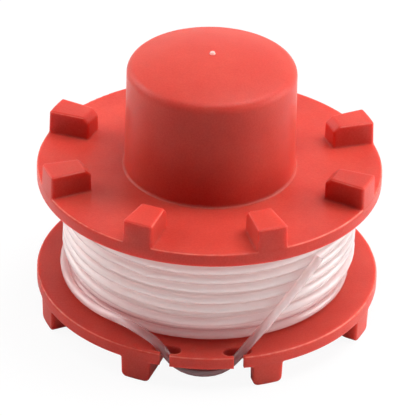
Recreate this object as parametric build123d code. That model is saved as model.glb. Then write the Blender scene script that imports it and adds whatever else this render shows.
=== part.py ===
"""A trimmer line spool: one moulded bobbin with a bump knob, and the cutting line wound on it.

The spool stands on its lower lugs. Z is the spool's axis, and the line's notches face -Y.
"""
from build123d import *
import math
import os

# Flanges and the space between them
flange_radius = 31.0
upper_flange_thickness = 2.5
lower_flange_thickness = 2.35
winding_gap = 19.0
rim_edge_radius = 0.3

# Core tube and the hollow underside
core_radius = 16.7
core_wall = 2.1
mouth_chamfer = 0.6
anchor_hole_clearance = 0.2
anchor_hole_angle = 90.0
anchor_hole_rise = 2.0

# Bump knob, closed by a crowned top
knob_base_radius = 15.35
knob_height = 19.9
knob_crown = 2.5
knob_draft = 0.65
knob_edge_radius = 1.8
knob_foot_radius = 0.4
knob_wall = 2.0
knob_roof = 2.2
gate_mark_radius = 0.55
gate_mark_height = 0.4
gate_mark_taper = 0.15

# Ring under the knob's roof that keeps the spring central
spring_ring_radius = 8.0
spring_ring_wall = 1.4
spring_ring_height = 3.0

# Indexing lugs on the outer faces of both flanges. The lower ones are short on one side.
lug_count = 8
upper_lug_height = 4.3
lower_lug_height = 4.2
lug_inner_radius = 23.1
lug_rim_step = 0.05
lug_rim_width = 5.7
lug_inner_width = 4.4
lug_draft = 1.5
lug_edge_radius = 0.4
upper_lug_end_slope = 1.1
lower_lug_short_side = 2.1
lower_lug_end_width = 1.6
lower_lug_tip_radius = 1.0

# Line notches in the lower rim: a narrow mouth and a pocket behind it that the line leans in
notch_angle = 12.3
notch_mouth_clearance = 0.2
notch_mouth_flare = 0.2
notch_pocket_inset = 2.05
notch_pocket_play = 0.7
notch_lean_play = 1.25

# Cutting line. The last layer was wound downwards and leaves the lowest turns of the layer under it bare.
line_diameter = 1.6
turns_in_layer = 9
layers = 8
layer_step = 1.2
bare_turns = 2
winding_side_clearance = 0.2
winding_core_clearance = 0.3
turn_ridge = 0.5
ridge_facets = 4

# Free end of the line, in degrees round from the middle of the front
tail_clearance = 0.3
tail_start_angle = -37.5
tail_start_rise = 4.6
tail_over_angle = 3.8
tail_under_angle = 3.4
tail_loop_angle = 0.3
tail_loop_bulge = 1.5
tail_loop_sag = 0.1
tail_end_angle = 45.9
tail_end_drop = 4.1
tail_bow = 0.45
arc_share = 0.45

# Levels along the axis
lower_underside = lower_lug_height
lower_face = lower_underside + lower_flange_thickness
upper_underside = lower_face + winding_gap
upper_face = upper_underside + upper_flange_thickness
knob_shoulder = upper_face + knob_height
knob_top = knob_shoulder + knob_crown

# Radii that follow from the sizes above
knob_top_radius = knob_base_radius - knob_height * math.tan(math.radians(knob_draft))
crown_radius = (knob_top_radius**2 + knob_crown**2) / (2 * knob_crown)
pocket_radius = knob_top_radius - knob_wall
bore_radius = core_radius - core_wall
winding_inner_radius = core_radius + winding_core_clearance
winding_radius = winding_inner_radius + line_diameter + (layers - 1) * layer_step
lug_pitch = 360.0 / lug_count

# Free end's places: on the winding, over the lower flange and under it
line_radius = line_diameter / 2
tail_winding_radius = winding_radius + line_radius + tail_clearance
tail_over_level = lower_face + line_radius + tail_clearance
tail_under_level = lower_underside - line_radius - tail_clearance

# Notch sizes that follow from the line, which leans outwards as it rises through the rim
notch_mouth = line_diameter + notch_mouth_clearance
notch_pocket_radius = flange_radius - notch_pocket_inset
lean_run = math.radians(tail_over_angle + tail_under_angle) * notch_pocket_radius
notch_lean = lean_run / (tail_over_level - tail_under_level)
notch_pocket_width = line_diameter + notch_pocket_play
lean_shift = lower_flange_thickness * notch_lean
notch_pocket_length = line_diameter * math.hypot(1, notch_lean) + lean_shift + notch_lean_play


def section_corner(section, radius, level):
    """The section's corner at a radius and a level."""
    return section.vertices().sort_by_distance((radius, level, 0))[0]


def crown_point(radius, depth):
    """A point of the knob's crowned top, or of its roof at a depth under the top."""
    sphere = crown_radius - depth
    return (radius, knob_top - crown_radius + math.sqrt(sphere**2 - radius**2))


def crown_arc(start_radius, end_radius, depth):
    """The crowned line between two radii."""
    middle_radius = (start_radius + end_radius) / 2
    return ThreePointArc(
        crown_point(start_radius, depth),
        crown_point(middle_radius, depth),
        crown_point(end_radius, depth),
    )


def turned_body():
    """The spool's round form, without lugs and notches."""
    ring_inner = spring_ring_radius - spring_ring_wall
    ring_end = crown_point(spring_ring_radius, knob_roof)[1] - spring_ring_height
    mark_top = knob_top + gate_mark_height
    mark_top_radius = gate_mark_radius - gate_mark_taper
    outside = Polyline(
        (bore_radius, lower_underside),
        (flange_radius, lower_underside),
        (flange_radius, lower_face),
        (core_radius, lower_face),
        (core_radius, upper_underside),
        (flange_radius, upper_underside),
        (flange_radius, upper_face),
        (knob_base_radius, upper_face),
        (knob_top_radius, knob_shoulder),
    )
    gate_mark = Polyline(
        crown_point(gate_mark_radius, 0),
        (mark_top_radius, mark_top),
        (0, mark_top),
        crown_point(0, knob_roof),
    )
    spring_ring = Polyline(
        crown_point(ring_inner, knob_roof),
        (ring_inner, ring_end),
        (spring_ring_radius, ring_end),
        crown_point(spring_ring_radius, knob_roof),
    )
    bore = Polyline(
        crown_point(pocket_radius, knob_roof),
        (pocket_radius, upper_underside),
        (bore_radius, upper_underside),
        (bore_radius, lower_underside),
    )
    top = crown_arc(knob_top_radius, gate_mark_radius, 0)
    inner_roof = crown_arc(0, ring_inner, knob_roof)
    outer_roof = crown_arc(spring_ring_radius, pocket_radius, knob_roof)
    section = make_face(outside + top + gate_mark + inner_roof + spring_ring + outer_roof + bore)
    rim_corners = [
        section_corner(section, flange_radius, level)
        for level in (lower_underside, lower_face, upper_underside, upper_face)
    ]
    section = fillet(rim_corners, rim_edge_radius)
    section = fillet(section_corner(section, knob_top_radius, knob_shoulder), knob_edge_radius)
    section = fillet(section_corner(section, knob_base_radius, upper_face), knob_foot_radius)
    section = chamfer(section_corner(section, bore_radius, lower_underside), mouth_chamfer)
    return revolve(Plane.XZ * section, axis=Axis.Z)


def lug_plan(short_inner_radius, end_width):
    """A lug's outline on +X: its outer end continues the rim, and it narrows towards its inner end.

    The side at -Y may stop short of the inner end, and the end is then slanted.
    """
    narrowing = (lug_rim_width - lug_inner_width) / (flange_radius - lug_inner_radius) / 2
    beyond = 2 * flange_radius - lug_inner_radius
    half_inner = lug_inner_width / 2
    half_beyond = half_inner + narrowing * (beyond - lug_inner_radius)
    half_short = half_inner + narrowing * (short_inner_radius - lug_inner_radius)
    corners = [
        (lug_inner_radius, half_inner - end_width),
        (short_inner_radius, -half_short),
        (beyond, -half_beyond),
        (beyond, half_beyond),
        (lug_inner_radius, half_inner),
    ]
    if short_inner_radius == lug_inner_radius:
        corners = corners[1:]
    return make_face(Polyline(*corners, close=True)) & Circle(flange_radius - lug_rim_step)


def upper_lug():
    """One lug of the upper flange on +X, standing on the XY plane, with a root in the flange."""
    plan = lug_plan(lug_inner_radius, lug_inner_width)
    block = extrude(plan, upper_lug_height, taper=lug_draft)
    inner_edge = block.faces().sort_by(Axis.Z)[-1].edges().sort_by(Axis.X)[0]
    block = chamfer(inner_edge, upper_lug_end_slope)
    free_edges = block.edges().filter_by(lambda edge: edge.center().Z > lug_edge_radius)
    block = fillet(free_edges, lug_edge_radius)
    return block + extrude(plan, -upper_flange_thickness / 2)


def lower_lug():
    """One lug of the lower flange on +X, hanging from the XY plane, with a root in the flange."""
    plan = lug_plan(flange_radius - lower_lug_short_side, lower_lug_end_width)
    block = extrude(plan, lower_lug_height, taper=lug_draft)
    side_edges = block.faces().sort_by(Axis.Z)[-1].edges().sort_by(Axis.Y)
    block = fillet([side_edges[0], side_edges[-1]], lower_lug_tip_radius)
    free_edges = block.edges().filter_by(lambda edge: edge.center().Z > lug_edge_radius)
    block = fillet(free_edges, lug_edge_radius)
    return mirror(block + extrude(plan, -lower_flange_thickness / 2), Plane.XY)


def lug_ring(single):
    """All lugs of one flange, with a gap between two of them at the front."""
    return [Rot(0, 0, lug_pitch * (index + 0.5)) * single for index in range(lug_count)]


def notch_cut(side):
    """One line notch: a narrow mouth in the rim and a pocket behind it that the line can lean in."""
    flare_start = flange_radius - notch_mouth_flare
    flare_end = flange_radius + notch_mouth_flare
    flare_half_width = notch_mouth / 2 + 2 * notch_mouth_flare
    pocket = SlotOverall(notch_pocket_length, notch_pocket_width)
    pocket = Pos(notch_pocket_radius, 0) * Rot(0, 0, 90) * pocket
    mouth = make_face(
        Polyline(
            (notch_pocket_radius, -notch_mouth / 2),
            (flare_start, -notch_mouth / 2),
            (flare_end, -flare_half_width),
            (flare_end, flare_half_width),
            (flare_start, notch_mouth / 2),
            (notch_pocket_radius, notch_mouth / 2),
            close=True,
        )
    )
    cut = extrude(pocket + mouth, lower_flange_thickness)
    return Pos(0, 0, lower_underside) * Rot(0, 0, -90 + side * notch_angle) * cut


def anchor_hole():
    """The hole in the core that the line's inner end is tucked into."""
    hole = Rot(0, 90, 0) * Cylinder(line_radius + anchor_hole_clearance, 2 * core_wall)
    place = Pos(core_radius - core_wall / 2, 0, lower_face + anchor_hole_rise)
    return Rot(0, 0, anchor_hole_angle) * place * hole


def spool_body():
    """The moulded bobbin in one piece."""
    upper_lugs = [Pos(0, 0, upper_face) * piece for piece in lug_ring(upper_lug())]
    lower_lugs = [Pos(0, 0, lower_underside) * piece for piece in lug_ring(lower_lug())]
    body = turned_body().fuse(*upper_lugs, *lower_lugs)
    return body.cut(notch_cut(-1), notch_cut(1), anchor_hole())


def line_winding():
    """The wound line: its turns show as ridges on the outside."""
    bottom = lower_face + winding_side_clearance
    top = upper_underside - winding_side_clearance
    turn_pitch = (top - bottom) / turns_in_layer
    outline = [(winding_inner_radius, bottom)]
    for turn in range(turns_in_layer):
        crest = winding_radius - layer_step if turn < bare_turns else winding_radius
        for facet in range(ridge_facets + 1):
            across = facet / ridge_facets
            height = turn_ridge * math.sin(math.pi * across)
            outline.append((crest - turn_ridge + height, bottom + (turn + across) * turn_pitch))
    outline.append((winding_inner_radius, top))
    outline = [place for place, before in zip(outline, [None] + outline) if place != before]
    section = make_face(Polyline(*outline, close=True))
    return revolve(Plane.XZ * section, axis=Axis.Z)


def tail_points():
    """Points of the free end's centre line: down one notch, under the rim, up the other, over the winding."""
    start = (tail_winding_radius, tail_start_angle, lower_face + tail_start_rise)
    left_over = (notch_pocket_radius, -notch_angle - tail_over_angle, tail_over_level)
    left_under = (notch_pocket_radius, -notch_angle + tail_under_angle, tail_under_level)
    loop = (notch_pocket_radius + tail_loop_bulge, tail_loop_angle, tail_under_level - tail_loop_sag)
    right_under = (notch_pocket_radius, notch_angle - tail_under_angle, tail_under_level)
    right_over = (notch_pocket_radius, notch_angle + tail_over_angle, tail_over_level)
    end = (tail_winding_radius, tail_end_angle, upper_underside - tail_end_drop)
    points = []
    for radius, angle, level in (start, left_over, left_under, loop, right_under, right_over, end):
        turn = math.radians(angle)
        points.append(Vector(radius * math.sin(turn), -radius * math.cos(turn), level))
    points.insert(1, bowed(points[0], points[1], 1 / 2))
    rising = [bowed(points[-2], points[-1], share) for share in (1 / 3, 2 / 3)]
    return points[:-1] + rising + points[-1:]


def bowed(start, end, share):
    """A point part of the way along a straight stretch, bowed outwards where it lies over the winding."""
    point = start + (end - start) * share
    radius = math.hypot(point.X, point.Y)
    out = 1 + tail_bow / radius
    return Vector(point.X * out, point.Y * out, point.Z)


def tail_path():
    """The free end's centre line: straight runs joined by arcs as large as the runs allow."""
    points = tail_points()
    radii = []
    for before, corner, after in zip(points, points[1:], points[2:]):
        arriving = corner - before
        leaving = after - corner
        half_turn = math.radians(arriving.get_angle(leaving)) / 2
        radii.append(arc_share * min(arriving.length, leaving.length) / math.tan(half_turn))
    print("tail radii, mm:", [round(radius, 1) for radius in radii])
    return FilletPolyline(*points, radius=radii)


def line_tail():
    """The free end of the line, cut off square at its end."""
    path = tail_path()
    start = Plane(origin=path @ 0, z_dir=path % 0)
    tube = sweep(start * Circle(line_radius), path=path)
    section_area = math.pi * line_radius**2
    print("tail length, mm:", round(path.length, 1))
    print("tail volume over section times length:", round(tube.volume / (section_area * path.length), 4))
    return tube


os.makedirs("parts", exist_ok=True)
nodes = {
    "spool_body": spool_body(),
    "line_winding": line_winding(),
    "line_tail": line_tail(),
}
for name, shape in nodes.items():
    export_step(shape, f"parts/{name}.step")
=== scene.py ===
"""Dress the trimmer line spool: a moulded red bobbin, its milky nylon line and a plain studio."""
import logging
import math
from dataclasses import astuple, dataclass, field
from enum import Enum
from typing import Any, Optional, Union

import bmesh
import bpy
from mathutils import Matrix, Vector


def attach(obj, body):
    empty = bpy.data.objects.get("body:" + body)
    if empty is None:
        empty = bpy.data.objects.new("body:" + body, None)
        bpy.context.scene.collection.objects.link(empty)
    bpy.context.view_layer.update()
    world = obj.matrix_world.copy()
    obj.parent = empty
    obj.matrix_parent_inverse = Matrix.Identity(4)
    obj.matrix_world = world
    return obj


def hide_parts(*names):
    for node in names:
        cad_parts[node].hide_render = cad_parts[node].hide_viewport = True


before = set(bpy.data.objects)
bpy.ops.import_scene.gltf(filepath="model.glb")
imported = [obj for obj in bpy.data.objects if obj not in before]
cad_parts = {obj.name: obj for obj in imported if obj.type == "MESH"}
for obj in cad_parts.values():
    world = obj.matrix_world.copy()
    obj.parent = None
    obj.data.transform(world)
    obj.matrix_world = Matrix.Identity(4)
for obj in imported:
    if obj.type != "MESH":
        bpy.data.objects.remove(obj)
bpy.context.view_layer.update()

LOG = logging.getLogger("line_spool")
MM = 0.001
Colour = tuple[float, float, float]
Limits = tuple[float, float]
Paint = Union[Colour, bpy.types.NodeSocket]
Operand = Union["Signal", float]
BLACK: Colour = (0.0, 0.0, 0.0)
WHITE: Colour = (1.0, 1.0, 1.0)


class LightSide(Enum):
    """Where a soft box stands, seen from the camera."""

    ABOVE = "above"
    FRONT = "front"
    LEFT = "left"
    RIGHT = "right"


class Signal:
    """A shader value that plain arithmetic can be written on."""

    full_share: float = 0.35

    def __init__(self, bench: "Bench", socket: bpy.types.NodeSocket) -> None:
        """Keep the socket and the bench that adds nodes for it."""
        self.bench = bench
        self.socket = socket

    def _math(self, operation: str, first: Operand, second: Operand = 0.0) -> "Signal":
        """Add one Math node.

        Args:
            operation: The Math node's operation.
            first: Its first value.
            second: Its second value.

        Returns:
            The node's result.
        """
        made = self.bench.node("ShaderNodeMath", {"operation": operation}, {0: first, 1: second})
        return Signal(self.bench, made.outputs[0])

    def __add__(self, other: Operand) -> "Signal":
        """Add a value."""
        return self._math("ADD", self, other)

    def __radd__(self, other: Operand) -> "Signal":
        """Add to a number."""
        return self._math("ADD", other, self)

    def __sub__(self, other: Operand) -> "Signal":
        """Take a value away."""
        return self._math("SUBTRACT", self, other)

    def __rsub__(self, other: Operand) -> "Signal":
        """Take away from a number."""
        return self._math("SUBTRACT", other, self)

    def __mul__(self, other: Operand) -> "Signal":
        """Multiply by a value."""
        return self._math("MULTIPLY", self, other)

    def __rmul__(self, other: Operand) -> "Signal":
        """Multiply a number."""
        return self._math("MULTIPLY", other, self)

    def __truediv__(self, other: Operand) -> "Signal":
        """Divide by a value."""
        return self._math("DIVIDE", self, other)

    def __rtruediv__(self, other: Operand) -> "Signal":
        """Divide a number."""
        return self._math("DIVIDE", other, self)

    def hypot(self, other: "Signal") -> "Signal":
        """Length of the vector that two values make."""
        return self._math("SQRT", self * self + other * other)

    def angle(self, across: "Signal") -> "Signal":
        """Angle whose sine side is this value."""
        return self._math("ARCTAN2", self, across)

    def apart(self, centre: Operand) -> "Signal":
        """How far the value is from a centre."""
        return self._math("ABSOLUTE", self - centre)

    def fraction(self) -> "Signal":
        """Part after the decimal point."""
        return self._math("FRACT", self)

    def greater_of(self, other: Operand) -> "Signal":
        """Larger of two values."""
        return self._math("MAXIMUM", self, other)

    def ramp(self, low: float, high: float) -> "Signal":
        """Smooth rise from 0 at low to 1 at high.

        Args:
            low: The value where the rise starts.
            high: The value where it ends.

        Returns:
            The rise, held between 0 and 1.
        """
        made = self.bench.node(
            "ShaderNodeMapRange",
            {"interpolation_type": "SMOOTHSTEP"},
            {"Value": self, "From Min": low, "From Max": high},
        )
        return Signal(self.bench, made.outputs[0])

    def near(self, centre: Operand, half_width: float) -> "Signal":
        """Soft band that is 1 at a centre and 0 beyond its half width."""
        return 1.0 - self.apart(centre).ramp(self.full_share * half_width, half_width)


class Bench:
    """A node tree and the one way that nodes are added to it."""

    noise_roughness: float = 0.55

    def __init__(self, owner: Union[bpy.types.Material, bpy.types.World]) -> None:
        """Start with an empty tree.

        Args:
            owner: The material or world whose nodes are built here.
        """
        owner.use_nodes = True
        self.tree = owner.node_tree
        self.tree.nodes.clear()

    def node(
        self,
        kind: str,
        settings: Optional[dict[str, Any]] = None,
        inputs: Optional[dict[Union[str, int], Any]] = None,
    ) -> bpy.types.Node:
        """Add a node.

        Args:
            kind: The node's type name.
            settings: Its own properties, which are set first.
            inputs: Values or links for its sockets, by name or number.

        Returns:
            The new node.
        """
        made = self.tree.nodes.new(kind)
        for name, value in (settings or {}).items():
            setattr(made, name, value)
        for key, value in (inputs or {}).items():
            if isinstance(value, Signal):
                self.tree.links.new(value.socket, made.inputs[key])
            elif isinstance(value, bpy.types.NodeSocket):
                self.tree.links.new(value, made.inputs[key])
            else:
                made.inputs[key].default_value = value
        return made

    def value(self, node: bpy.types.Node, output: Union[str, int] = 0) -> Signal:
        """Wrap one of a node's outputs."""
        return Signal(self, node.outputs[output])

    def downward(self) -> Signal:
        """How far the surface faces down, from -1 to 1."""
        facing = self.node("ShaderNodeTexCoord").outputs["Normal"]
        return 0.0 - self.value(self.node("ShaderNodeSeparateXYZ", inputs={0: facing}), 2)

    def place(self) -> tuple[Signal, Signal, Signal, bpy.types.NodeSocket]:
        """Read the surface's own coordinates.

        Returns:
            X, Y and Z in metres, and the vector's socket.
        """
        coordinates = self.node("ShaderNodeTexCoord").outputs["Object"]
        parts = self.node("ShaderNodeSeparateXYZ", inputs={0: coordinates})
        return self.value(parts, 0), self.value(parts, 1), self.value(parts, 2), coordinates

    def noise(self, vector: bpy.types.NodeSocket, size: float, detail: float = 2.0) -> Signal:
        """Soft noise.

        Args:
            vector: The coordinates' socket.
            size: How large its features are, in the coordinates' unit.
            detail: How many finer octaves it has.

        Returns:
            A value around 0.5.
        """
        made = self.node(
            "ShaderNodeTexNoise",
            {"noise_dimensions": "3D"},
            {
                "Vector": vector,
                "Scale": 1.0 / size,
                "Detail": detail,
                "Roughness": self.noise_roughness,
            },
        )
        return self.value(made, 0)

    def blend(self, share: Operand, first: Paint, second: Paint) -> bpy.types.NodeSocket:
        """Mix two colours.

        Args:
            share: How much of the second colour there is.
            first: The first colour or its socket.
            second: The second colour or its socket.

        Returns:
            The mixed colour's socket.
        """
        made = self.node(
            "ShaderNodeMix",
            {"data_type": "RGBA"},
            {0: share, 6: self.rgba(first), 7: self.rgba(second)},
        )
        return made.outputs[2]

    @staticmethod
    def rgba(colour: Paint) -> Any:
        """Give a plain colour its alpha, and leave a socket as it is."""
        return (*colour, 1.0) if isinstance(colour, tuple) else colour

    def finish(self, shader: bpy.types.NodeSocket, kind: str = "ShaderNodeOutputMaterial") -> None:
        """Join a shader to the tree's output."""
        self.node(kind, inputs={"Surface": shader})


@dataclass(frozen=True)
class MouldedRed:
    """Satin red plastic with the mould's fine grain, a painted highlight along its edges, and paler
    on the broken gate.
    """

    colour: Colour = (0.51, 0.042, 0.028)
    worn: Colour = (0.59, 0.069, 0.048)
    # Painted highlight colour for the rims, the knob's foot and the upper lugs' edges.
    edge: Colour = (0.71, 0.21, 0.16)
    gate: Colour = (0.76, 0.51, 0.48)
    roughness: float = 0.40
    roughness_spread: float = 0.14
    specular: float = 0.16
    ior: float = 1.5
    scatter_share: float = 0.8
    scatter_radius: Colour = (1.0, 0.12, 0.08)
    scatter_depth: float = 3.5 * MM
    grain_size: float = 0.30 * MM
    grain_depth: float = 0.045 * MM
    grain_detail: float = 3.0
    grain_strength: float = 0.7
    grain_limits: Limits = (0.3, 0.7)
    grain_share: float = 0.5
    cloud_size: float = 11.0 * MM
    cloud_detail: float = 4.0
    cloud_limits: Limits = (0.35, 0.68)
    cloud_share: float = 0.5
    patch_size: float = 2.2 * MM
    patch_limits: Limits = (0.30, 0.62)
    flange_radius: float = 31.0 * MM
    lower_face: float = 6.55 * MM
    upper_face: float = 28.05 * MM
    foot_radius: float = 15.6 * MM
    lug_top: float = 32.3 * MM
    lug_inner_radius: float = 23.1 * MM
    lug_inner_width: float = 4.3 * MM
    lug_outer_width: float = 5.6 * MM
    lug_count: int = 8
    gate_radius: float = 0.62 * MM
    gate_core: float = 0.8
    gate_level: float = 50.45 * MM
    gate_step: float = 0.1 * MM
    edge_width: float = 0.26 * MM
    edge_radius: float = 0.65 * MM
    edge_samples: int = 6
    highlight_least: float = 0.4
    highlight_spread: float = 0.5
    rim_widening: float = 1.2
    foot_narrowing: float = 0.6
    foot_share: float = 0.3

    def edges(self, bench: Bench, x: Signal, y: Signal, z: Signal) -> Signal:
        """Find the edges that get the painted highlight: the flanges' rims, the knob's foot and the
        upper lugs.

        Args:
            bench: Not used; the signals add their nodes to their own bench.
            x: Place along X in metres.
            y: Place along Y in metres.
            z: Height in metres.

        Returns:
            1 on an edge and 0 away from it.
        """
        reach = x.hypot(y)
        rim = reach.near(self.flange_radius, self.rim_widening * self.edge_width)
        pitch = 2.0 * math.pi / self.lug_count
        across = ((y.angle(x) / pitch + self.lug_count).fraction() - 0.5) * pitch * reach
        spread = (self.lug_outer_width - self.lug_inner_width) / (
            self.flange_radius - self.lug_inner_radius
        )
        half_width = (self.lug_inner_width + (reach - self.lug_inner_radius) * spread) / 2.0
        past_flank = across.apart(0.0) - half_width
        upper_rim = z.near(self.upper_face, self.edge_width)
        upper_rim = upper_rim * past_flank.ramp(-self.edge_width, 0.0)
        rims = rim * z.near(self.lower_face, self.edge_width).greater_of(upper_rim)
        foot = reach.near(self.foot_radius, self.foot_narrowing * self.edge_width)
        foot = foot * z.near(self.upper_face, self.edge_width) * self.foot_share
        flank = past_flank.near(0.0, self.edge_width)
        top = z.near(self.lug_top, self.edge_width)
        top = top * reach.ramp(self.foot_radius, self.lug_inner_radius)
        outer_end = flank.greater_of(top) * rim * z.ramp(self.upper_face, self.lug_top)
        corners = (flank * top).greater_of(outer_end)
        return rims.greater_of(foot).greater_of(corners)

    def material(self) -> bpy.types.Material:
        """Build the material.

        Returns:
            The finished material.
        """
        made = bpy.data.materials.new("moulded_red_plastic")
        bench = Bench(made)
        x, y, z, vector = bench.place()
        clouds = bench.noise(vector, self.cloud_size, self.cloud_detail).ramp(*self.cloud_limits)
        grain = bench.noise(vector, self.grain_size, self.grain_detail)
        patches = bench.noise(vector, self.patch_size).ramp(*self.patch_limits)
        off_gate = x.hypot(y).ramp(self.gate_core * self.gate_radius, self.gate_radius)
        gate = (1.0 - off_gate) * z.ramp(self.gate_level, self.gate_level + self.gate_step)
        wear = clouds * self.cloud_share + grain.ramp(*self.grain_limits) * self.grain_share
        # Painted highlight along those edges, broken up by patches.
        painted_highlight = self.edges(bench, x, y, z) * (self.highlight_least + patches * self.highlight_spread)
        colour = bench.blend(wear, self.colour, self.worn)
        colour = bench.blend(painted_highlight, colour, self.edge)
        colour = bench.blend(gate, colour, self.gate)
        rounded = bench.node(
            "ShaderNodeBevel", {"samples": self.edge_samples}, {"Radius": self.edge_radius}
        )
        bump = bench.node(
            "ShaderNodeBump",
            inputs={
                "Strength": self.grain_strength,
                "Distance": self.grain_depth,
                "Height": grain,
                "Normal": rounded.outputs[0],
            },
        )
        shader = bench.node(
            "ShaderNodeBsdfPrincipled",
            inputs={
                "Base Color": colour,
                "Roughness": self.roughness + (grain - 0.5) * self.roughness_spread,
                "Normal": bump.outputs[0],
                "Subsurface Weight": self.scatter_share,
                "Subsurface Radius": self.scatter_radius,
                "Subsurface Scale": self.scatter_depth,
                "Specular IOR Level": self.specular,
                "IOR": self.ior,
            },
        )
        bench.finish(shader.outputs[0])
        return made


@dataclass(frozen=True)
class MilkyNylon:
    """Nylon line: milky in its turns, clearer along its free end, with painted light: a red bounce
    near the lower flange, a red reflection on the free end, a glow in the winding and dark shade in
    the loop under the rim.
    """

    colour: Colour = (0.99, 0.93, 0.91)
    streak: Colour = (0.96, 0.84, 0.83)
    # Painted red bounce: the line is pinker low in the winding, near the lower flange.
    painted_red_bounce: Colour = (0.93, 0.70, 0.69)
    # Painted red reflection of the flange around the low free end, which also darkens it.
    painted_free_tint: Colour = (0.42, 0.22, 0.23)
    # Painted shade on the loop under the rim.
    painted_loop_shade: Colour = (0.26, 0.095, 0.10)
    clear_colour: Colour = (0.95, 0.79, 0.79)
    # Painted glow colours: redder near the lower flange as painted red bounce, paler higher up.
    red_bounce_glow: Colour = (0.72, 0.30, 0.30)
    high_glow: Colour = (1.0, 0.74, 0.71)
    glow_strength: float = 0.23
    upper_glow: float = 0.65
    crest_glow: float = 0.55
    under_limits: Limits = (-0.5, 0.8)
    inner_radius: float = 21.0 * MM
    outer_radius: float = 25.0 * MM
    groove_radius: float = 25.3 * MM
    crest_radius: float = 26.5 * MM
    wound_radius: float = 26.9 * MM
    free_radius: float = 27.7 * MM
    low_level: float = 6.5 * MM
    high_level: float = 13.0 * MM
    hung_level: float = 3.6 * MM
    notch_level: float = 5.6 * MM
    wound_clear: float = 0.52
    free_clear: float = 0.7
    hung_clear: float = 0.25
    roughness: float = 0.16
    roughness_spread: float = 0.12
    clear_roughness: float = 0.06
    specular: float = 0.75
    ior: float = 1.5
    clear_ior: float = 1.45
    scatter_radius: Colour = (1.0, 0.9, 0.88)
    scatter_depth: float = 2.0 * MM
    scatter_forward: float = 0.6
    streak_width: float = 0.35 * MM
    streak_turn: float = 0.35
    streak_share: float = 0.6
    streak_limits: Limits = (0.35, 0.65)
    cloud_size: float = 6.0 * MM

    def streaks(self, bench: Bench, x: Signal, y: Signal, z: Signal) -> Signal:
        """Faint streaks that follow the turns.

        Args:
            bench: The bench that the nodes are added to.
            x: Place along X in metres.
            y: Place along Y in metres.
            z: Height in metres.

        Returns:
            A value around 0.5.
        """
        along = y.angle(x) / self.streak_turn
        outward = x.hypot(y) / self.streak_width
        upward = z / self.streak_width
        around = bench.node("ShaderNodeCombineXYZ", inputs={0: along, 1: outward, 2: upward})
        return bench.noise(around.outputs[0], 1.0)

    def glow(self, bench: Bench, reach: Signal, height: Signal, free: Signal) -> bpy.types.NodeSocket:
        """Painted glow: an emission that stands in for the light inside the winding, which shows most
        between and under the turns, with painted red bounce near the lower flange.

        Args:
            bench: The bench that the nodes are added to.
            reach: Distance from the spool's axis in metres.
            height: 0 near the lower flange and 1 well above it.
            free: 1 on the line's free end and 0 in the winding.

        Returns:
            The glow's colour.
        """
        facing_down = bench.downward().ramp(*self.under_limits)
        under = self.upper_glow + facing_down * (1.0 - self.upper_glow)
        crest = reach.ramp(self.groove_radius, self.crest_radius)
        between = 1.0 - crest * (1.0 - self.crest_glow)
        lit = reach.ramp(self.inner_radius, self.outer_radius) * (1.0 - free) * under * between
        return bench.blend(lit, BLACK, bench.blend(height, self.red_bounce_glow, self.high_glow))

    def material(self) -> bpy.types.Material:
        """Build the material.

        Returns:
            The finished material.
        """
        made = bpy.data.materials.new("milky_nylon_line")
        bench = Bench(made)
        x, y, z, vector = bench.place()
        reach = x.hypot(y)
        height = z.ramp(self.low_level, self.high_level)
        tail = reach.ramp(self.wound_radius, self.free_radius)
        free = tail * (1.0 - height)
        # Mask of the loop under the rim, which gets painted shade and less see-through.
        shaded_loop = 1.0 - z.ramp(self.hung_level, self.notch_level)
        streaks = self.streaks(bench, x, y, z)
        clouds = bench.noise(vector, self.cloud_size)
        share = streaks * self.streak_share + clouds * (1.0 - self.streak_share)
        colour = bench.blend(share.ramp(*self.streak_limits), self.colour, self.streak)
        # Painted red bounce from the lower flange, fading out higher up.
        colour = bench.blend(height, self.painted_red_bounce, colour)
        # Painted red reflection and darkening on the low part of the free end.
        colour = bench.blend(free, colour, self.painted_free_tint)
        milky = bench.node(
            "ShaderNodeBsdfPrincipled",
            inputs={
                "Base Color": bench.blend(shaded_loop, colour, self.painted_loop_shade),
                "Roughness": self.roughness + streaks * self.roughness_spread,
                "Subsurface Weight": 1.0,
                "Subsurface Radius": self.scatter_radius,
                "Subsurface Scale": self.scatter_depth,
                "Subsurface Anisotropy": self.scatter_forward,
                "Specular IOR Level": self.specular,
                "IOR": self.ior,
                # Painted glow that stands in for the light inside the winding.
                "Emission Color": self.glow(bench, reach, height, free),
                "Emission Strength": self.glow_strength,
            },
        )
        clear = bench.node(
            "ShaderNodeBsdfPrincipled",
            inputs={
                "Base Color": bench.rgba(self.clear_colour),
                "Roughness": self.clear_roughness,
                "Transmission Weight": 1.0,
                "IOR": self.clear_ior,
            },
        )
        see_through = self.wound_clear + tail * (self.free_clear - self.wound_clear)
        see_through = see_through + shaded_loop * (self.hung_clear - self.free_clear)
        mixed = bench.node(
            "ShaderNodeMixShader",
            inputs={0: see_through, 1: milky.outputs[0], 2: clear.outputs[0]},
        )
        bench.finish(mixed.outputs[0])
        return made


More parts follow.
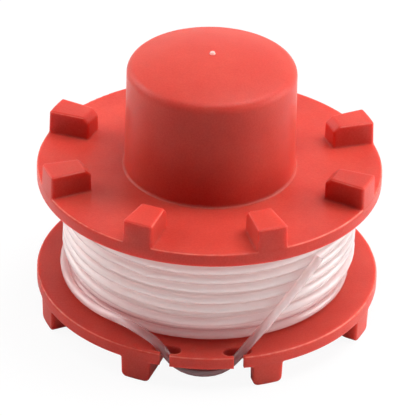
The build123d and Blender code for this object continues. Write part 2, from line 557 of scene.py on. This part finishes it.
@dataclass(frozen=True)
class PaleFloor:
    """White studio floor that still takes the object's soft shadow."""

    colour: Colour = (0.92, 0.92, 0.92)
    glow: float = 0.93
    mirrored_glow: float = 0.15

    def material(self) -> bpy.types.Material:
        """Build the material.

        Returns:
            The finished material.
        """
        made = bpy.data.materials.new("pale_floor")
        bench = Bench(made)
        path = bench.node("ShaderNodeLightPath")
        seen = bench.value(path, "Is Camera Ray") * self.glow
        glossy = bench.value(path, "Is Glossy Ray")
        mirrored = glossy.greater_of(bench.value(path, "Is Transmission Ray"))
        share = seen.greater_of(mirrored * self.mirrored_glow)
        matt = bench.node("ShaderNodeBsdfDiffuse", inputs={"Color": bench.rgba(self.colour)})
        white = bench.node("ShaderNodeEmission", inputs={"Color": bench.rgba(WHITE)})
        mixed = bench.node(
            "ShaderNodeMixShader",
            inputs={0: share, 1: matt.outputs[0], 2: white.outputs[0]},
        )
        bench.finish(mixed.outputs[0])
        return made


@dataclass
class SpoolBody:
    """The moulded bobbin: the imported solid, dressed in its plastic."""

    plastic: MouldedRed = field(default_factory=MouldedRed)
    node: str = "spool_body"

    def dress(self) -> bpy.types.Object:
        """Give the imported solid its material.

        Returns:
            The solid's object.
        """
        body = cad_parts[self.node]
        material = self.plastic.material()
        for slot in body.material_slots:
            slot.material = material
        return body


@dataclass(frozen=True)
class Turn:
    """One turn of the line around the core."""

    radius: float
    level: float
    tilt: float
    shift: float

    def toward(self, other: "Turn", share: float) -> "Turn":
        """Place a turn between this one and another.

        Args:
            other: The turn that follows.
            share: How far along it is, from 0 at this turn to 1 at the other.

        Returns:
            The turn between them.
        """
        sizes = zip(astuple(self), astuple(other))
        return Turn(*(here + (there - here) * share for here, there in sizes))


@dataclass
class WoundLine:
    """The cutting line: one length, wound in layers, with its free end hooked through the rim."""

    nylon: MilkyNylon = field(default_factory=MilkyNylon)
    diameter: float = 1.6 * MM
    lower_face: float = 6.55 * MM
    gap: float = 19.0 * MM
    side_clearance: float = 0.2 * MM
    anchor_angle: float = 90.0
    anchor_rise: float = 2.0 * MM
    anchor_radius: float = 15.0 * MM
    anchor_bend: float = 0.5 * MM
    anchor_run: float = 6.0
    core_radius: float = 16.7 * MM
    first_radius: float = 17.75 * MM
    layer_step: float = 1.17 * MM
    full_layers: int = 7
    turns_in_layer: int = 9
    off_centre: float = 0.2 * MM
    last_radius: float = 25.75 * MM
    last_top: float = 17.1 * MM
    last_pitch: float = 1.82 * MM
    last_tilt: float = 0.3 * MM
    last_tilt_step: float = 0.25 * MM
    last_part: float = 0.5
    last_sag_mm: tuple[float, ...] = (-0.5, -0.35, -0.45, -0.7, -0.5, -0.6, 0.1)
    points_in_turn: int = 16
    crossover: float = 0.14
    wobble: float = 0.09 * MM
    wobble_outward: float = 0.5
    wobble_waves: float = 2.0
    wobble_phase: float = 2.4
    curve_steps: int = 4
    curve_order: int = 3
    round_steps: int = 4

    def full_layer(self, layer: int) -> list[Turn]:
        """Turns of one full layer. Odd layers lie in the grooves of the layer under them.

        Args:
            layer: The layer's number, from 0 at the core.

        Returns:
            The turns in the order in which they are wound.
        """
        nested = layer % 2
        radius = self.first_radius + layer * self.layer_step
        lowest = self.lower_face + self.side_clearance + self.diameter / 2
        pitch = (self.gap - 2 * self.side_clearance - self.diameter) / (self.turns_in_layer - 1)
        shift = self.off_centre * (layer / self.full_layers) ** 2
        turns = [
            Turn(radius, lowest + (turn + nested / 2) * pitch, 0.0, shift)
            for turn in range(self.turns_in_layer - nested)
        ]
        return turns[::-1] if nested else turns

    def last_layer(self) -> list[Turn]:
        """Turns of the last layer, which is wound downwards and sits a little askew and uneven.

        Returns:
            The turns in the order in which they are wound.
        """
        turns = []
        for turn, sag in enumerate(self.last_sag_mm):
            half_sag = sag * MM / 2
            level = self.lower_face + self.last_top - turn * self.last_pitch - half_sag
            tilt = self.last_tilt + turn * self.last_tilt_step + half_sag
            turns.append(Turn(self.last_radius, level, tilt, self.off_centre))
        return turns

    def on_winding(self, radius: float, degrees: float, level: float, shift: float) -> Vector:
        """Control point of a turn.

        Args:
            radius: The turn's own radius, which its control points lie a little outside of.
            degrees: Angle round the spool's axis.
            level: Height.
            shift: How far the turn's centre lies to the right.

        Returns:
            The point.
        """
        reach = radius / math.cos(math.pi / self.points_in_turn)
        turn = math.radians(degrees)
        return Vector((reach * math.cos(turn) + shift, reach * math.sin(turn), level))

    def wound_points(self) -> list[Vector]:
        """Control points of all turns, with each step to the next turn at the back.

        Returns:
            The points, from the core outwards, as far as the front of the last turn.
        """
        turns = [turn for layer in range(self.full_layers) for turn in self.full_layer(layer)]
        turns += self.last_layer()
        points = []
        last_point = round((len(turns) - self.last_part) * self.points_in_turn)
        for index in range(1, last_point + 1):
            position = index / self.points_in_turn
            degrees = self.anchor_angle + 360.0 * position
            nearest = round(position)
            before = turns[max(nearest - 1, 0)]
            after = turns[min(nearest, len(turns) - 1)]
            step = min(max((position - nearest) / (2 * self.crossover) + 0.5, 0.0), 1.0)
            turn = before.toward(after, step * step * (3.0 - 2.0 * step))
            phase = self.wobble_phase * int(position)
            wave = math.sin(math.radians(self.wobble_waves * degrees) + phase)
            radius = turn.radius + self.wobble_outward * self.wobble * wave
            askew = turn.tilt * math.sin(math.radians(degrees)) + self.wobble * wave
            points.append(self.on_winding(radius, degrees, turn.level + askew, turn.shift))
        return points

    def start_points(self) -> list[Vector]:
        """Control points of the inner end, tucked into the core's hole.

        Returns:
            The points, from inside the core's wall to the first turn.
        """
        level = self.lower_face + self.anchor_rise
        outside = self.core_radius + self.diameter / 2
        stations = (
            (self.anchor_radius, 0.0),
            (outside, 0.0),
            (self.first_radius + self.anchor_bend, self.anchor_run),
        )
        points = []
        for radius, ahead in stations:
            turn = math.radians(self.anchor_angle + ahead)
            points.append(Vector((radius * math.cos(turn), radius * math.sin(turn), level)))
        return points

    def crossing_points(self) -> list[Vector]:
        """Control points of the last length, which sinks to the lower flange and leaves at the left.

        Returns:
            The points, from the front of the last turn to the left of the winding.
        """
        # Angle in degrees, height over the lower flange in mm, distance out of the last layer in mm
        stations = (
            (292.5, 4.75, 0.0),
            (315.0, 4.9, 0.0),
            (337.5, 5.1, 0.0),
            (360.0, 5.3, 0.0),
            (382.5, 5.4, 0.0),
            (405.0, 5.3, 0.0),
            (427.5, 5.0, 0.0),
            (450.0, 4.5, 0.0),
            (472.5, 3.8, 0.05),
            (495.0, 3.0, 0.1),
            (517.5, 2.2, 0.15),
            (540.0, 1.6, 0.2),
            (556.0, 1.25, 0.25),
            (570.0, 1.1, 0.25),
            (582.0, 1.25, 0.25),
            (592.0, 1.8, 0.55),
        )
        return [
            self.on_winding(
                self.last_radius + lift * MM, degrees, self.lower_face + rise * MM, self.off_centre
            )
            for degrees, rise, lift in stations
        ]

    @staticmethod
    def tail_points() -> list[Vector]:
        """Points of the free end: down one notch, under the rim, up the other and over the winding.

        Returns:
            The points, as far as the cut end.
        """
        # X, Y and Z in mm
        stations = (
            (-13.33, -24.05, 8.9),
            (-10.6, -26.2, 8.5),
            (-8.03, -27.81, 7.65),
            (-4.48, -28.6, 3.1),
            (0.16, -30.45, 3.0),
            (4.48, -28.6, 3.1),
            (8.03, -27.81, 7.65),
            (12.27, -24.94, 11.91),
            (16.4, -22.08, 16.47),
            (20.21, -18.5, 20.8),
        )
        return [Vector(station) * MM for station in stations]

    def build(self) -> bpy.types.Object:
        """Returns:
            The line's object.
        """
        points = self.start_points() + self.wound_points()
        points += self.crossing_points() + self.tail_points()
        curve = bpy.data.curves.new("cutting_line", "CURVE")
        curve.dimensions = "3D"
        curve.bevel_depth = self.diameter / 2
        curve.bevel_resolution = self.round_steps
        curve.resolution_u = self.curve_steps
        curve.use_fill_caps = True
        spline = curve.splines.new("NURBS")
        spline.points.add(len(points) - 1)
        for control, point in zip(spline.points, points):
            control.co = (*point, 1.0)
        spline.order_u = self.curve_order
        spline.use_endpoint_u = True
        curve.materials.append(self.nylon.material())
        line = bpy.data.objects.new("cutting_line", curve)
        bpy.context.scene.collection.objects.link(line)
        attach(line, "root")
        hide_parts("line_winding", "line_tail")
        return line


@dataclass(frozen=True)
class SoftBox:
    """A square soft box: its place and width in metres and its power in watts."""

    place: tuple[float, float, float]
    width: float
    power: float


@dataclass
class Studio:
    """Camera, floor, soft boxes and surroundings."""

    floor: PaleFloor = field(default_factory=PaleFloor)
    aim: Vector = field(default_factory=lambda: Vector((0.0, 0.0, 18.65 * MM)))
    distance: float = 652.6 * MM
    elevation: float = 31.37
    turn: float = 0.9
    roll: float = 1.53
    lens: float = 312.3
    sensor: float = 36.0
    shift: float = -0.0011
    floor_size: float = 4.0
    ambient_front: float = 0.02
    ambient_back: float = 0.12
    ambient_limits: Limits = (-0.6, 0.6)
    boxes: dict[LightSide, SoftBox] = field(
        default_factory=lambda: {
            LightSide.ABOVE: SoftBox((0.25, 0.13, 0.55), 0.40, 3.55),
            LightSide.FRONT: SoftBox((0.0, -0.05, 0.45), 0.16, 0.45),
            LightSide.LEFT: SoftBox((-0.47, 0.17, 0.31), 0.40, 2.5),
            LightSide.RIGHT: SoftBox((0.575, 0.06, 0.17), 0.35, 2.65),
        }
    )

    def place_camera(self) -> bpy.types.Object:
        """Set the camera at the photograph's angle.

        Returns:
            The camera's object.
        """
        lens = bpy.data.cameras.new("camera")
        lens.sensor_fit = "HORIZONTAL"
        lens.sensor_width = self.sensor
        lens.lens = self.lens
        lens.shift_x = self.shift
        camera = bpy.data.objects.new("camera", lens)
        bpy.context.scene.collection.objects.link(camera)
        spin = Matrix.Rotation(math.radians(self.turn), 4, "Z")
        lean = Matrix.Rotation(math.radians(90.0 - self.elevation), 4, "X")
        roll = Matrix.Rotation(math.radians(self.roll), 4, "Z")
        back = Matrix.Translation((0.0, 0.0, self.distance))
        camera.matrix_world = Matrix.Translation(self.aim) @ spin @ lean @ roll @ back
        bpy.context.scene.camera = camera
        return camera

    def lay_floor(self) -> bpy.types.Object:
        """Lay the pale floor under the spool.

        Returns:
            The floor's object.
        """
        sheet = bmesh.new()
        bmesh.ops.create_grid(sheet, x_segments=1, y_segments=1, size=self.floor_size / 2)
        mesh = bpy.data.meshes.new("floor")
        sheet.to_mesh(mesh)
        sheet.free()
        mesh.materials.append(self.floor.material())
        floor = bpy.data.objects.new("floor", mesh)
        bpy.context.scene.collection.objects.link(floor)
        return floor

    def hang_box(self, side: LightSide) -> bpy.types.Object:
        """Hang one soft box, turned to the spool.

        Args:
            side: Which of the soft boxes it is.

        Returns:
            The lamp's object.
        """
        box = self.boxes[side]
        light = bpy.data.lights.new(f"soft_box_{side.value}", "AREA")
        light.shape = "SQUARE"
        light.size = box.width
        light.energy = box.power
        lamp = bpy.data.objects.new(light.name, light)
        lamp.location = box.place
        lamp.rotation_euler = (lamp.location - self.aim).to_track_quat("Z", "Y").to_euler()
        bpy.context.scene.collection.objects.link(lamp)
        return lamp

    def surround(self) -> bpy.types.World:
        """Make the surroundings: white to the camera, and dimmer in front than behind.

        Returns:
            The scene's world.
        """
        world = bpy.data.worlds.new("surroundings")
        bpy.context.scene.world = world
        bench = Bench(world)
        direction = bench.node("ShaderNodeTexCoord").outputs["Generated"]
        parts = bench.node("ShaderNodeSeparateXYZ", inputs={0: direction})
        path = bench.node("ShaderNodeLightPath")
        seen = bench.value(path, "Is Camera Ray")
        for kind in ("Is Glossy Ray", "Is Transmission Ray"):
            seen = seen.greater_of(bench.value(path, kind))
        behind = bench.value(parts, 1).ramp(*self.ambient_limits)
        ambient = self.ambient_front + behind * (self.ambient_back - self.ambient_front)
        strength = seen + (1.0 - seen) * ambient
        light = bench.node(
            "ShaderNodeBackground",
            inputs={"Color": bench.rgba(WHITE), "Strength": strength},
        )
        bench.finish(light.outputs[0], "ShaderNodeOutputWorld")
        return world

    def set_up(self) -> None:
        """Set up the whole studio and plain colour handling."""
        bpy.context.scene.view_settings.view_transform = "Standard"
        self.place_camera()
        self.lay_floor()
        self.surround()
        for side in LightSide:
            self.hang_box(side)


def main() -> None:
    """Build the pieces in order and report each one."""
    logging.basicConfig(level=logging.INFO, format="%(name)s: %(message)s")
    for piece in (SpoolBody().dress(), WoundLine().build()):
        LOG.info("made %s", piece.name)
    Studio().set_up()
    LOG.info("studio is set up")


if __name__ == "__main__":
    main()
